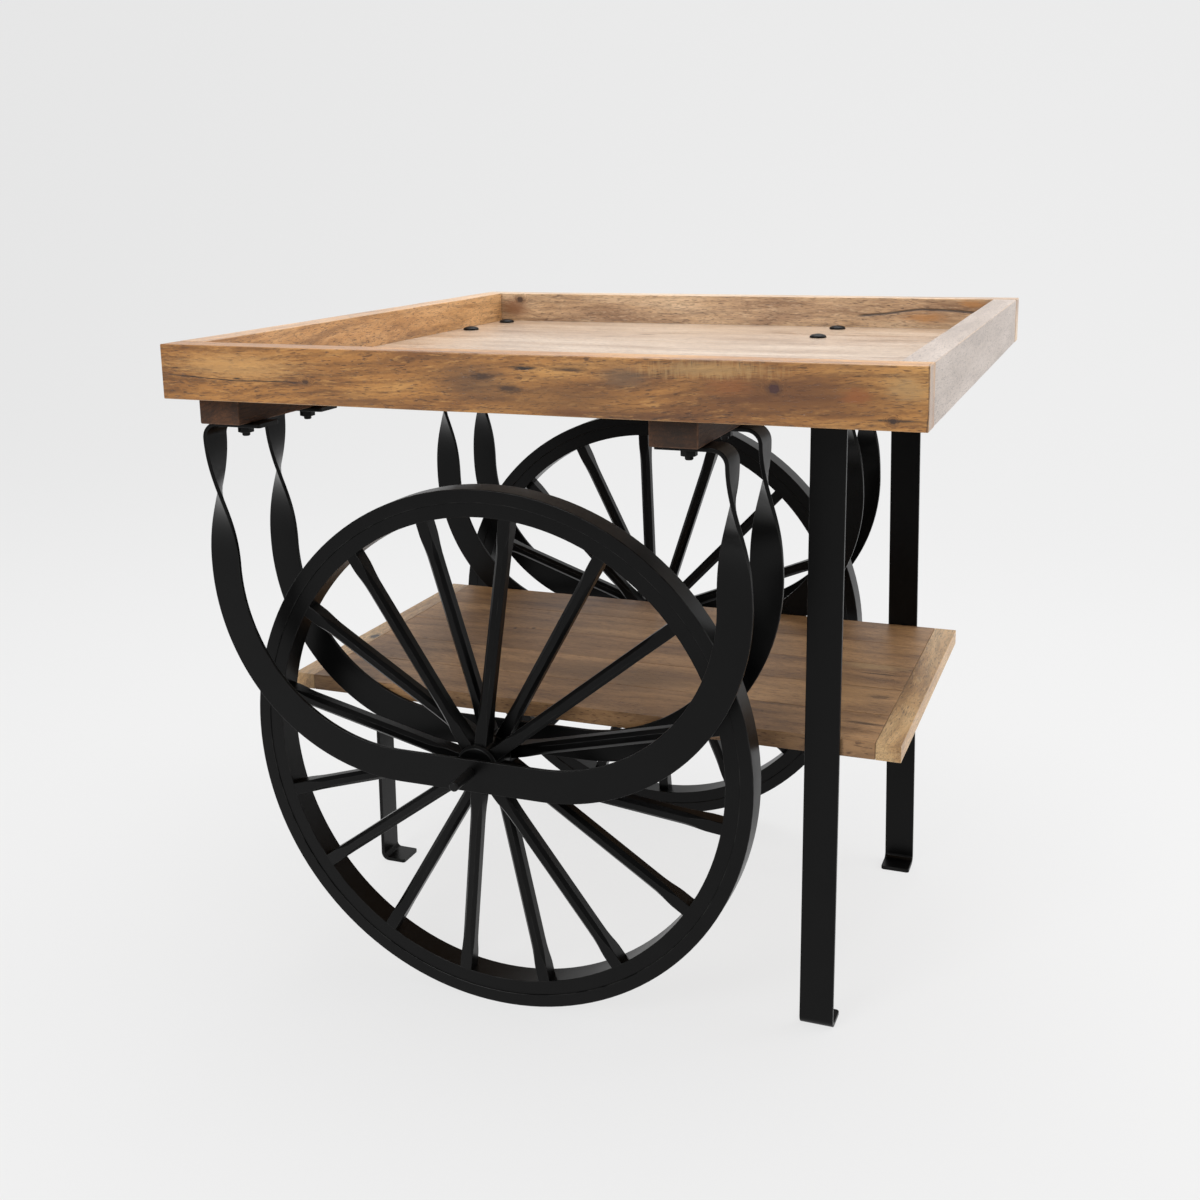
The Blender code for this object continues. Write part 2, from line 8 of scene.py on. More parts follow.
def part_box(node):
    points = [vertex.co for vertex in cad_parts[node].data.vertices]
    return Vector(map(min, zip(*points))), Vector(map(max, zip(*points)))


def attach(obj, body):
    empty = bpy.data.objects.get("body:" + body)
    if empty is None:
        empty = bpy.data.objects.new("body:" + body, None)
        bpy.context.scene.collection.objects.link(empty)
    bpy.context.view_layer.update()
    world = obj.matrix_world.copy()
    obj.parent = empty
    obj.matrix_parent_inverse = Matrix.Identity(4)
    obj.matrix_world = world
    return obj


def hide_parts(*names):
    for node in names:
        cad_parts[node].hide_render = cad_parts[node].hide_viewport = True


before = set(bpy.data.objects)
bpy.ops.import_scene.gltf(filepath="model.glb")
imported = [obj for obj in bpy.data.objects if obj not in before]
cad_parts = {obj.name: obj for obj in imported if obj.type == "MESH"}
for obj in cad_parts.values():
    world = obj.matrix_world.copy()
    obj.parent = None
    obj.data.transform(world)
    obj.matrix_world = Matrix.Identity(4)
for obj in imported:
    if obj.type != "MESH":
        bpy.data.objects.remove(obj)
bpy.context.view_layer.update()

# ---- Tray rails -----------------------------------------------------------------
# Four lengths of mango wood, sawn, planed and waxed, standing on edge round the tray.
# The front and back rails run full length and show their ends on the sides; the side
# rails fit between them and are nailed through the long ones.


def linear(code):
    """An sRGB hex colour as linear values."""
    values = [int(code[i:i + 2], 16) / 255.0 for i in (1, 3, 5)]
    return (*[v / 12.92 if v <= 0.04045 else ((v + 0.055) / 1.055) ** 2.4 for v in values], 1.0)


def node(tree, kind, inputs=None, stops=None, curve=None, **settings):
    """Adds one node. Each input takes a number, a colour or another node's output;
    stops are (place, hex colour) pairs of a ramp, and curve is a float curve's points."""
    made = tree.nodes.new("ShaderNode" + kind)
    for key, value in settings.items():
        setattr(made, key, value)
    for key, value in (inputs or {}).items():
        if isinstance(value, bpy.types.NodeSocket):
            tree.links.new(value, made.inputs[key])
        else:
            made.inputs[key].default_value = value
    for index, (place, code) in enumerate(stops or ()):
        ramp = made.color_ramp.elements
        stop = ramp[index] if index < 2 else ramp.new(place)
        stop.position = place
        stop.color = linear(code)
    for index, point in enumerate(curve or ()):
        points = made.mapping.curves[0].points
        if index < 2:
            points[index].location = point
        else:
            points.new(*point)
    if curve:
        for point in made.mapping.curves[0].points:
            point.handle_type = "VECTOR"
        made.mapping.update()
    return made


def surface(name):
    """A new material, its node tree and its Principled surface."""
    material = bpy.data.materials.new(name)
    material.use_nodes = True
    return material, material.node_tree, material.node_tree.nodes["Principled BSDF"]


ALONG_X = (0.0, 0.0, 0.0)
ALONG_Y = (0.0, 0.0, math.radians(-90.0))


def mango(name, turn, offset, tones, vein="#4A2E1A", ring=0.009, stains_and_painted_light=(), curls=(), knots=(), cracks=(),
          depth=0.5, streak=0.5, gloss=0.38, coat=0.5, worn="#C9A987"):
    """Waxed mango wood. Growth rings, spaced ring apart, and streaks run along the board
    and bend a little; pores are short dark dashes, drawn about 1 mm wide so that they
    show. Stains are (centre, radii, colour, strength) clouds, curls the same but combed
    across the grain, and knots the same with the grain parting round them. The stain
    clouds hold real stains and also painted light and shade: painted sheen, a painted
    highlight and a painted shadow, coloured into the wood. A crack is (start, length,
    heights, half width), a dark split along X through (share of its length, height)
    points. Coat is how much wax stands on the wood."""
    material, tree, skin = surface(name)
    spot = node(tree, "TexCoord").outputs["Object"]
    grain = node(tree, "Mapping", {"Vector": spot, "Location": offset, "Rotation": turn}).outputs[0]

    def stretched(scale, detail, rough=0.55, vector=None):
        """Noise drawn out along the grain: scale is in features per metre, along and across."""
        flow = node(tree, "Mapping", {"Vector": vector or bent, "Scale": (scale[0], scale[1], scale[1])})
        found = node(tree, "TexNoise", {
            "Vector": flow.outputs[0], "Scale": 1.0, "Detail": detail, "Roughness": rough})
        return found.outputs["Fac"]

    def share(value, low, high, top=1.0):
        """Maps low..high of a value to 0..top, held at both ends."""
        return node(tree, "MapRange", {
            "Value": value, "From Min": low, "From Max": high, "To Max": top},
            interpolation_type="SMOOTHSTEP").outputs["Result"]

    def blend(factor, first, second, how="MIX"):
        mixed = node(tree, "Mix", {0: factor}, data_type="RGBA", blend_type=how)
        for place, value in ((6, first), (7, second)):
            if isinstance(value, bpy.types.NodeSocket):
                tree.links.new(value, mixed.inputs[place])
            else:
                mixed.inputs[place].default_value = linear(value)
        return mixed.outputs[2]

    def times(first, second):
        return node(tree, "Math", {0: first, 1: second}, operation="MULTIPLY").outputs[0]

    # The grain wanders across the board by up to 20 mm over half a metre.
    slow = node(tree, "Mapping", {"Vector": grain, "Scale": (2.2, 7.0, 7.0)})
    wander = node(tree, "TexNoise", {"Vector": slow.outputs[0], "Scale": 1.0, "Detail": 2.5})
    sway = node(tree, "VectorMath", {
        0: wander.outputs["Color"], 1: (0.0, 0.055, 0.055)}, operation="MULTIPLY")
    bent = node(tree, "VectorMath", {0: grain, 1: sway.outputs[0]}, operation="ADD").outputs[0]
    for centre, radii, _, strength in knots:
        # The grain parts round a knot.
        local = node(tree, "Mapping", {"Vector": spot, "Location": centre,
                                       "Scale": tuple(r * 3.0 for r in radii)}, vector_type="TEXTURE")
        away = node(tree, "VectorMath", {0: local.outputs[0]}, operation="LENGTH").outputs["Value"]
        near = share(away, 1.0, 0.0, strength * 0.012)
        push = node(tree, "CombineXYZ", {"Y": near, "Z": near}).outputs[0]
        bent = node(tree, "VectorMath", {0: bent, 1: push}, operation="ADD").outputs[0]

    zones = stretched((4.0, 22.0), 4.0, 0.6)
    colour = node(tree, "ValToRGB", {"Fac": zones}, stops=list(zip((0.34, 0.52, 0.68), tones))).outputs[0]
    # At scale 1 the node's rings are 0.314 m apart.
    rings = node(tree, "TexWave", {
        "Vector": bent, "Scale": 0.314 / ring, "Distortion": 3.0, "Detail": 3.0,
        "Detail Scale": 1.6, "Detail Roughness": 0.6}, wave_type="RINGS", rings_direction="X").outputs["Fac"]
    colour = blend(share(rings, 0.55, 1.0, 0.30 * depth), colour, vein, "MULTIPLY")
    streaks = stretched((5.0, 90.0), 5.0, 0.62)
    colour = blend(share(streaks, 0.50, 0.74, streak), colour, vein)
    fine = stretched((60.0, 420.0), 4.0, 0.7)
    colour = blend(share(fine, 0.48, 0.72, 0.55), colour, vein)
    pale = stretched((40.0, 300.0), 4.0, 0.7)
    colour = blend(share(pale, 0.52, 0.70, 0.50), colour, tones[0])
    pores = share(stretched((90.0, 800.0), 1.0), 0.60, 0.68)
    colour = blend(times(pores, 0.60), colour, vein, "MULTIPLY")

    # A stain's outline strays by up to 10 mm.
    ragged = node(tree, "VectorMath", {0: wander.outputs["Color"], 1: (0.020,) * 3}, operation="MULTIPLY")
    ripple = node(tree, "VectorMath", {0: spot, 1: ragged.outputs[0]}, operation="ADD")
    strayed = node(tree, "VectorMath", {
        0: ripple.outputs[0], 1: (0.010,) * 3}, operation="SUBTRACT").outputs[0]
    comb = stretched((330.0, 45.0), 3.0)
    for centre, radii, code, strength in (*stains_and_painted_light, *curls):
        local = node(tree, "Mapping", {
            "Vector": strayed, "Location": centre, "Scale": radii}, vector_type="TEXTURE")
        away = node(tree, "VectorMath", {0: local.outputs[0]}, operation="LENGTH").outputs["Value"]
        tear = comb if (centre, radii, code, strength) in curls else fine
        torn = node(tree, "Math", {0: tear, 1: 1.2, 2: away}, operation="MULTIPLY_ADD").outputs[0]
        colour = blend(share(torn, 1.45, 0.75, strength), colour, code)
    for centre, radii, code, strength in knots:
        local = node(tree, "Mapping", {
            "Vector": spot, "Location": centre, "Scale": radii}, vector_type="TEXTURE")
        shifted = node(tree, "VectorMath", {0: local.outputs[0], 1: (0.5, 0.5, 0.5)}, operation="ADD")
        ruffle = node(tree, "TexNoise", {
            "Vector": shifted.outputs[0], "Scale": 1.4, "Detail": 3.0}).outputs["Fac"]
        away = node(tree, "VectorMath", {0: local.outputs[0]}, operation="LENGTH").outputs["Value"]
        away = node(tree, "Math", {0: ruffle, 1: 0.9, 2: away}, operation="MULTIPLY_ADD").outputs[0]
        halo = share(away, 2.4, 1.2, strength * 0.60)
        colour = blend(halo, colour, vein)
        heart = share(away, 1.40, 1.15, strength)
        colour = blend(heart, colour, code)
    split = None
    for start, length, heights, half in cracks:
        axes = node(tree, "SeparateXYZ", {"Vector": spot})
        run = node(tree, "MapRange", {
            "Value": axes.outputs["X"], "From Min": start, "From Max": start + length},
            clamp=False).outputs["Result"]
        low = min(height for _, height in heights)
        reach = max(height for _, height in heights) - low + 1e-6
        path = [(place, (height - low) / reach) for place, height in heights]
        path = [path[0], path[-1]] + path[1:-1]
        level = node(tree, "FloatCurve", {"Value": run}, curve=path).outputs[0]
        level = node(tree, "Math", {0: level, 1: reach, 2: low}, operation="MULTIPLY_ADD").outputs[0]
        jitter = node(tree, "Math", {0: streaks, 1: 0.004, 2: level}, operation="MULTIPLY_ADD").outputs[0]
        off = node(tree, "Math", {0: axes.outputs["Z"], 1: jitter}, operation="SUBTRACT").outputs[0]
        off = node(tree, "Math", {0: off}, operation="ABSOLUTE").outputs[0]
        inside = share(node(tree, "Math", {0: run, 1: 0.5}, operation="SUBTRACT").outputs[0], -0.5, -0.42)
        outside = share(run, 1.0, 0.90)
        open_part = times(times(inside, outside), share(off, half, half * 0.35, 0.85))
        colour = blend(open_part, colour, "#24140B")
        split = open_part

    edge = node(tree, "Attribute", attribute_name="edge_wear_and_highlight").outputs["Fac"]
    rubbed = times(edge, share(streaks, 0.35, 0.60, 0.55))
    colour = blend(rubbed, colour, worn)
    tree.links.new(colour, skin.inputs["Base Color"])

    sheen = node(tree, "Math", {0: fine, 1: -0.16, 2: gloss + 0.10}, operation="MULTIPLY_ADD").outputs[0]
    tree.links.new(sheen, skin.inputs["Roughness"])
    relief = node(tree, "Math", {0: fine, 1: 0.6, 2: streaks}, operation="MULTIPLY_ADD").outputs[0]
    relief = node(tree, "Math", {0: relief, 1: pores}, operation="SUBTRACT").outputs[0]
    if split:
        relief = node(tree, "Math", {0: split, 1: -4.0, 2: relief}, operation="MULTIPLY_ADD").outputs[0]
    bump = node(tree, "Bump", {"Strength": 0.5, "Distance": 0.0006, "Height": relief})
    tree.links.new(bump.outputs[0], skin.inputs["Normal"])
    # The coat of wax and lacquer turns pale where it is seen along the board.
    skin.inputs["Coat Weight"].default_value = coat
    skin.inputs["Coat Roughness"].default_value = 0.28
    return material


def plank(node_name, edge, slices, wander, seed):
    """A sawn board the size of its CAD node: eased edges, and faces planed a little
    uneven, always inwards, in swells about 110 mm long. The vertex value wear is 1 on
    the eased edges, and the seed makes each board's swells its own."""
    swells_per_metre = 9.0
    low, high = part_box(node_name)
    size = high - low
    shape = bmesh.new()
    bmesh.ops.create_cube(shape, size=1.0)
    bmesh.ops.scale(shape, vec=size, verts=shape.verts)
    bmesh.ops.translate(shape, vec=(low + high) / 2.0, verts=shape.verts)
    bmesh.ops.bevel(shape, geom=shape.edges[:], offset=edge, offset_type="OFFSET",
                    segments=3, profile=0.5, affect="EDGES", material=-1)
    longest = max(range(3), key=lambda axis: size[axis])
    across = Vector([1.0 if axis == longest else 0.0 for axis in range(3)])
    for step in range(1, slices):
        cut = low + across * (edge + (size[longest] - 2.0 * edge) * step / slices)
        bmesh.ops.bisect_plane(shape, geom=shape.verts[:] + shape.edges[:] + shape.faces[:],
                               dist=1e-6, plane_co=cut, plane_no=across)
    edge_wear_and_highlight = shape.verts.layers.float.new("edge_wear_and_highlight")
    middle = (low + high) / 2.0
    for vert in shape.verts:
        nearest = min(min(vert.co[axis] - low[axis], high[axis] - vert.co[axis]) for axis in range(3))
        vert[edge_wear_and_highlight] = 1.0 if nearest > edge * 0.05 else 0.0
        for axis in range(3):
            if axis == longest:
                continue
            place = vert.co * swells_per_metre + Vector((seed * 3.1, axis * 7.7, seed))
            inward = 1.0 if vert.co[axis] < middle[axis] else -1.0
            vert.co[axis] += inward * wander * (0.5 + 0.5 * noise.noise(place))
    return shape


def piece(name, shape, material, body, slot, *nodes):
    """Makes the bmesh a piece that rides on a body and stands for its CAD nodes."""
    bmesh.ops.recalc_face_normals(shape, faces=shape.faces)
    mesh = bpy.data.meshes.new(name)
    shape.to_mesh(mesh)
    shape.free()
    mesh.shade_smooth()
    mesh.materials.append(material)
    made = bpy.data.objects.new(name, mesh)
    bpy.context.scene.collection.objects.link(made)
    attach(made, body)
    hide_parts(*nodes)
    return made


def even(made):
    """Shades the wide faces flat and turns the shading only on the eased edges."""
    made.modifiers.new("even", "WEIGHTED_NORMAL").keep_sharp = False
    return made


HONEY = ("#D09B58", "#AE773A", "#7A4C20")
FRONT_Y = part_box("tray_front_rail")[0].y
BACK_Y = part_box("tray_back_rail")[0].y


def on_face(y, marks):
    """Marks given as (x, z, half length, half height, colour, strength) on a rail's face.
    They reach right through the rail."""
    through = 0.05
    return [((x, y, z), (length, through, height), code, strength)
            for x, z, length, height, code, strength in marks]


front_wood = mango(
    "mango_wood_front_rail", (0.0, math.radians(2.5), 0.0), (0.31, 0.13, -0.60), HONEY,
    ring=0.007, depth=0.9, coat=0.25, worn="#B58E62",
    stains_and_painted_light=on_face(FRONT_Y, (
        (-0.340, 0.838, 0.150, 0.026, "#D3A264", 0.6), (-0.037, 0.831, 0.075, 0.032, "#60432A", 0.7),
        (0.060, 0.815, 0.150, 0.035, "#7A5228", 0.6), (0.310, 0.825, 0.180, 0.040, "#643A16", 0.8),
        (-0.028, 0.837, 0.022, 0.007, "#3C2515", 0.9), (0.004, 0.825, 0.024, 0.008, "#3C2515", 0.9),
        (0.020, 0.8473, 0.028, 0.0040, "#20130B", 1.0), (0.075, 0.8470, 0.032, 0.0032, "#3A2414", 0.9),
        (0.135, 0.842, 0.052, 0.020, "#6B543E", 0.7), (0.249, 0.832, 0.038, 0.018, "#8F5524", 0.7),
        (0.379, 0.826, 0.028, 0.012, "#935524", 0.8), (0.427, 0.835, 0.034, 0.022, "#B28D5C", 0.7),
        (0.420, 0.8045, 0.046, 0.0028, "#33200F", 0.9), (0.072, 0.800, 0.042, 0.008, "#6B3F1C", 0.7),
        (-0.342, 0.8246, 0.010, 0.0020, "#1E120A", 1.0), (-0.180, 0.803, 0.090, 0.008, "#6B4728", 0.5),
        (0.2125, 0.8560, 0.0012, 0.006, "#1A110A", 1.0), (0.2621, 0.8555, 0.0012, 0.0065, "#1A110A", 1.0),
        # The grey strip over the rail's right end and corner is painted sheen, the same grey as the right
        # rail's; beside it a dark line runs down the front face.
        (0.4510, 0.827, 0.0022, 0.20, "#A39183", 0.9), (0.4490, 0.827, 0.0011, 0.20, "#2A1C12", 0.8),
    )),
    curls=on_face(FRONT_Y, ((0.229, 0.850, 0.110, 0.015, "#BC9762", 0.6),)),
    knots=on_face(FRONT_Y, (
        (0.2962, 0.8323, 0.0062, 0.0050, "#43201A", 1.0), (-0.2517, 0.8211, 0.0045, 0.0024, "#402614", 0.9),
        (0.4155, 0.8045, 0.0036, 0.0028, "#352012", 0.9),
    )),
    cracks=((-0.448, 0.196, ((0.0, 0.8222), (0.53, 0.8175), (1.0, 0.8180)), 0.0008),),
)
back_wood = mango(
    "mango_wood_back_rail", ALONG_X, (0.77, -0.42, -0.81), ("#DFC29E", "#C6A37C", "#94704E"), ring=0.010,
    stains_and_painted_light=on_face(BACK_Y, (
        (-0.390, 0.835, 0.045, 0.030, "#7E5231", 0.9), (0.310, 0.830, 0.055, 0.012, "#B9803F", 0.7),
        (0.385, 0.852, 0.035, 0.010, "#B9803F", 0.7),
    )),
    knots=on_face(BACK_Y, ((-0.3802, 0.8494, 0.006, 0.005, "#3A2213", 0.9),)),
    cracks=((0.2013, 0.2024, ((0.0, 0.8280), (0.25, 0.8328), (0.47, 0.8396), (0.53, 0.8407),
                              (0.70, 0.8396), (0.85, 0.8377), (1.0, 0.8351)), 0.0026),),
)
left_wood = mango(
    "mango_wood_left_rail", ALONG_Y, (-0.22, 0.51, 0.33), ("#D9AC79", "#BC8C58", "#8A5F38"), ring=0.012,
)
# The right rail's pale grey tones, with faint rings and streaks, are painted sheen: they stand for the right
# lamp's glare seen along that face, not for the wood's colour.
right_rail_painted_sheen = mango(
    "mango_wood_right_rail_painted_sheen", ALONG_Y, (0.19, -0.37, 0.52), ("#B4A396", "#A39183", "#8A796B"), ring=0.010,
    depth=0.2, streak=0.2,
)
even(piece("front_rail", plank("tray_front_rail", 0.0013, 24, 0.0008, 1.0), front_wood,
           "frame", "rail_wood", "tray_front_rail"))
even(piece("back_rail", plank("tray_back_rail", 0.0013, 24, 0.0008, 2.0), back_wood,
           "frame", "rail_wood", "tray_back_rail"))
even(piece("left_rail", plank("tray_left_rail", 0.0013, 24, 0.0008, 3.0), left_wood,
           "frame", "rail_wood", "tray_left_rail"))
even(piece("right_rail", plank("tray_right_rail", 0.0013, 24, 0.0008, 4.0), right_rail_painted_sheen,
           "frame", "rail_wood", "tray_right_rail"))

# ---- Tray boards ----------------------------------------------------------------
# Six mango boards laid side by side inside the rails and planed together, so that
# only a hairline shows between them. They are bolted to the two bearers. Their pale grey
# tone is partly their own and partly painted light, a painted glare of the top lamp.
# Partly painted light: the boards are coloured paler and greyer than the rails, partly their own colour and
# partly a painted glare of the top lamp.
PALE_WITH_PAINTED_TOP_LIGHT = (("#CCB7A1", "#BCA48C", "#9E8268"), ("#C6B09A", "#B79E86", "#967A60"))
TRAY_TOP = 0.813


def on_top(z, marks):
    """Marks given as (x, y, half length, half width, colour, strength) on a board's top."""
    deep = 0.02
    return [((x, y, z), (length, width, deep), code, strength)
            for x, y, length, width, code, strength in marks]


for index in range(1, 7):
    board_wood_with_painted_top_light = mango(
        f"mango_wood_tray_board_{index}", ALONG_X, (index * 0.83, index * 0.37, 0.2), PALE_WITH_PAINTED_TOP_LIGHT[index % 2],
        ring=0.016, depth=0.4, streak=0.28, gloss=0.34,
        knots=on_top(TRAY_TOP, ((-0.0822, 0.2288, 0.010, 0.006, "#6E4A2E", 0.9),)) if index == 5 else (),
        stains_and_painted_light=on_top(TRAY_TOP, (
            (0.270, 0.280, 0.100, 0.007, "#8A6340", 0.9), (0.345, 0.021, 0.020, 0.006, "#8A6340", 0.7),
        )),
    )
    even(piece(f"board_{index}", plank(f"tray_board_{index}", 0.0005, 12, 0.0002, 10.0 + index), board_wood_with_painted_top_light,
               "frame", "panel_wood", f"tray_board_{index}"))

# ---- Bearers --------------------------------------------------------------------
# Two stout cross bearers under the tray boards, of mango stained dark brown, with
# their corners eased. The straps are bolted up through them.
low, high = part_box("bearer_right")
bearer_wood = mango(
    "stained_mango_wood_bearer", ALONG_Y, (0.4, 0.1, 0.9), ("#5E3A1E", "#452810", "#2A1606"),
    vein="#1C1006", ring=0.006, depth=0.8, gloss=0.74, coat=0.0, worn="#6A4A33",
    # The right bearer is made darker all over by one wide dark cloud.
    stains_and_painted_light=((tuple((low + high) / 2.0), (0.080, 0.900, 0.080), "#25180D", 0.8),),
)
for side in ("left", "right"):
    even(piece(f"bearer_beam_{side}", plank(f"bearer_{side}", 0.0020, 16, 0.0008, 21.0), bearer_wood,
               "frame", "bearer_wood", f"bearer_{side}"))

# ---- Straps ---------------------------------------------------------------------
# Four flat iron bars, each bent edgewise to a deep U that cradles a wheel, with a
# quarter twist in each arm and a tab bolted under a bearer. Painted satin black over
# the forged skin.


def black_iron(name, tone, high, rough, hammer):
    """Satin black paint on forged iron: the forged skin shows as shallow dents under
    the paint. In patches along the edges it turns greyer, partly paint rubbed thin and
    partly painted highlight, standing for light caught on the rounded corners."""
    material, tree, skin = surface(name)
    spot = node(tree, "TexCoord").outputs["Object"]
    # Dents are about 20 mm across, orange peel about 1.5 mm.
    dents = node(tree, "TexNoise", {"Vector": spot, "Scale": 45.0, "Detail": 2.0}).outputs["Fac"]
    peel = node(tree, "TexNoise", {"Vector": spot, "Scale": 650.0, "Detail": 2.0}).outputs["Fac"]
    cloud = node(tree, "TexNoise", {
        "Vector": spot, "Scale": 14.0, "Detail": 4.0, "Roughness": 0.6}).outputs["Fac"]
    edge = node(tree, "Attribute", attribute_name="edge_wear_and_highlight").outputs["Fac"]
    broken = node(tree, "MapRange", {"Value": dents, "From Min": 0.40, "From Max": 0.62}).outputs["Result"]
    # Greyer edges: rubbed paint, and painted highlight for the light on the rounded corners.
    rub_and_edge_highlight = node(tree, "Math", {0: edge, 1: broken}, operation="MULTIPLY").outputs[0]
    colour = node(tree, "ValToRGB", {"Fac": cloud}, stops=((0.35, tone), (0.70, high))).outputs[0]
    mixed = node(tree, "Mix", {0: rub_and_edge_highlight, 6: colour, 7: linear("#262625")}, data_type="RGBA").outputs[2]
    tree.links.new(mixed, skin.inputs["Base Color"])
    skin.inputs["Specular IOR Level"].default_value = 0.15
    gloss = node(tree, "Math", {0: cloud, 1: 0.22, 2: rough - 0.11}, operation="MULTIPLY_ADD").outputs[0]
    tree.links.new(gloss, skin.inputs["Roughness"])
    relief = node(tree, "Math", {0: peel, 1: 0.10, 2: dents}, operation="MULTIPLY_ADD").outputs[0]
    bump = node(tree, "Bump", {"Strength": hammer, "Distance": 0.0012, "Height": relief})
    tree.links.new(bump.outputs[0], skin.inputs["Normal"])
    return material


bar_iron = black_iron("satin_black_forged_iron_bar", "#040404", "#070707", 0.32, 0.12)


def drawn(sections, worn=()):
    """A bar drawn through equal sections: a first face, extruded to each next one. The
    points of a section numbered in worn get wear 1."""
    shape = bmesh.new()
    edge_wear_and_highlight = shape.verts.layers.float.new("edge_wear_and_highlight")
    face = shape.faces.new([shape.verts.new(point) for point in sections[0]])
    for index, vert in enumerate(face.verts):
        vert[edge_wear_and_highlight] = 1.0 if index in worn else 0.0
    for step, section in enumerate(sections[1:]):
        made = bmesh.ops.extrude_face_region(shape, geom=[face])
        if step > 0:
            bmesh.ops.delete(shape, geom=[face], context="FACES_ONLY")
        face = next(item for item in made["geom"] if isinstance(item, bmesh.types.BMFace))
        for vert, point in zip(face.verts, section):
            vert.co = point
    return shape


CORNER = 0.0009


def bent_bar(stations, thickness):
    """Flat bar with rounded corners through (centre, direction, half width) stations."""
    sections = []
    cut = 0.3 * CORNER
    for centre, direction, across in stations:
        wide = across.length
        deep = thickness / 2.0
        a = across.normalized()
        t = direction.cross(across).normalized()
        points = []
        for index, (u, v) in enumerate(((1, 1), (-1, 1), (-1, -1), (1, -1))):
            turn = [(u * wide, v * (deep - CORNER)), (u * (wide - cut), v * (deep - cut)),
                    (u * (wide - CORNER), v * deep)]
            points += turn if index % 2 == 0 else turn[::-1]
        sections.append([Vector(centre) + a * u + t * v for u, v in points])
    return drawn(sections, worn=(1, 4, 7, 10))


def rounded_end(tip, inward, across):
    """Stations from a bar's free end inwards, with the end's corners rounded."""
    radius = 0.003
    found = []
    for step in range(5):
        turn = step / 4.0 * math.pi / 2.0
        half = across.normalized() * (across.length - radius * (1.0 - math.sin(turn)))
        found.append((Vector(tip) + inward * radius * (1.0 - math.cos(turn)), inward, half))
    return found


def flipped(stations):
    return [(centre, -direction, across) for centre, direction, across in reversed(stations)]


# The bends are those of the frame's own bars, and STRAP_LEFT holds each left arm's X.
STRAP_T = 0.005
STRAP_HALF = 0.0415 / 2.0
STRAP_BOTTOM = 0.336
STRAP_CORNER_R = 0.240
STRAP_LEAN = -0.003
STRAP_BEND_R = 0.018
STRAP_LEFT = {"near_outer": -0.4325, "near_inner": -0.4375, "far_inner": -0.4400, "far_outer": -0.4400}
STRAP_RIGHT = 0.235
TAB_PAST_BOLT = 0.034
UP = Vector((0.0, 0.0, 1.0))


def strap_arm(sign, arm_x, y, tab_end, tab_z):
    """Stations from a tab's free end, round the top bend, down the twisted arm and
    round the corner to the bottom of the U."""
    flat = Vector((0.0, -sign * STRAP_HALF, 0.0))
    found = rounded_end((tab_end, y, tab_z), Vector((sign, 0.0, 0.0)), flat)
    top = tab_z - STRAP_BEND_R
    bend_x = arm_x + STRAP_LEAN - sign * STRAP_BEND_R
    for step in range(13):
        turn = step / 12.0 * math.pi / 2.0
        place = Vector((bend_x + sign * STRAP_BEND_R * math.sin(turn), y,
                        top + STRAP_BEND_R * math.cos(turn)))
        found.append((place, Vector((sign * math.cos(turn), 0.0, -math.sin(turn))), flat))
    low = STRAP_BOTTOM + STRAP_CORNER_R
    for step in range(1, 49):
        run = step / 48.0
        turn = (3.0 - 2.0 * run) * run * run * math.pi / 2.0
        across = Vector((sign * math.sin(turn), -sign * math.cos(turn), 0.0)) * STRAP_HALF
        place = Vector((arm_x + STRAP_LEAN * (1.0 - run), y, top + (low - top) * run))
        found.append((place, -UP, across))
    middle = Vector((arm_x - sign * STRAP_CORNER_R, y, low))
    for step in range(1, 49):
        turn = step / 48.0 * math.pi / 2.0
        outward = Vector((sign * math.cos(turn), 0.0, -math.sin(turn)))
        direction = Vector((-sign * math.sin(turn), 0.0, -math.cos(turn)))
        found.append((middle + outward * STRAP_CORNER_R, direction, outward * STRAP_HALF))
    return found


for place, left_x in STRAP_LEFT.items():
    low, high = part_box(f"strap_{place}")
    y = (low.y + high.y) / 2.0
    tab_z = high.z - STRAP_T / 2.0
    left_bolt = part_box(f"bolt_left_{place}")
    right_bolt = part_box(f"bolt_right_{place}")
    left_end = (left_bolt[0].x + left_bolt[1].x) / 2.0 + TAB_PAST_BOLT
    right_end = (right_bolt[0].x + right_bolt[1].x) / 2.0 - TAB_PAST_BOLT
    stations = strap_arm(-1.0, left_x, y, left_end, tab_z)
    stations += flipped(strap_arm(1.0, STRAP_RIGHT, y, right_end, tab_z))
    even(piece(f"bar_{place}", bent_bar(stations, STRAP_T), bar_iron,
               "frame", "black_iron", f"strap_{place}"))

# ---- Bolts and nuts -------------------------------------------------------------
# Black domed bolts go down through board, bearer and strap, each with a hexagon nut
# below. The heads stand on the tray boards.
bolt_iron = black_iron("satin_black_bolt_steel", "#090909", "#121212", 0.38, 0.05)
DOME_RISE = 0.0045
HEAD_DEEP = 0.0052
SHANK_R = 0.0048
TIP_CUT = 0.0010


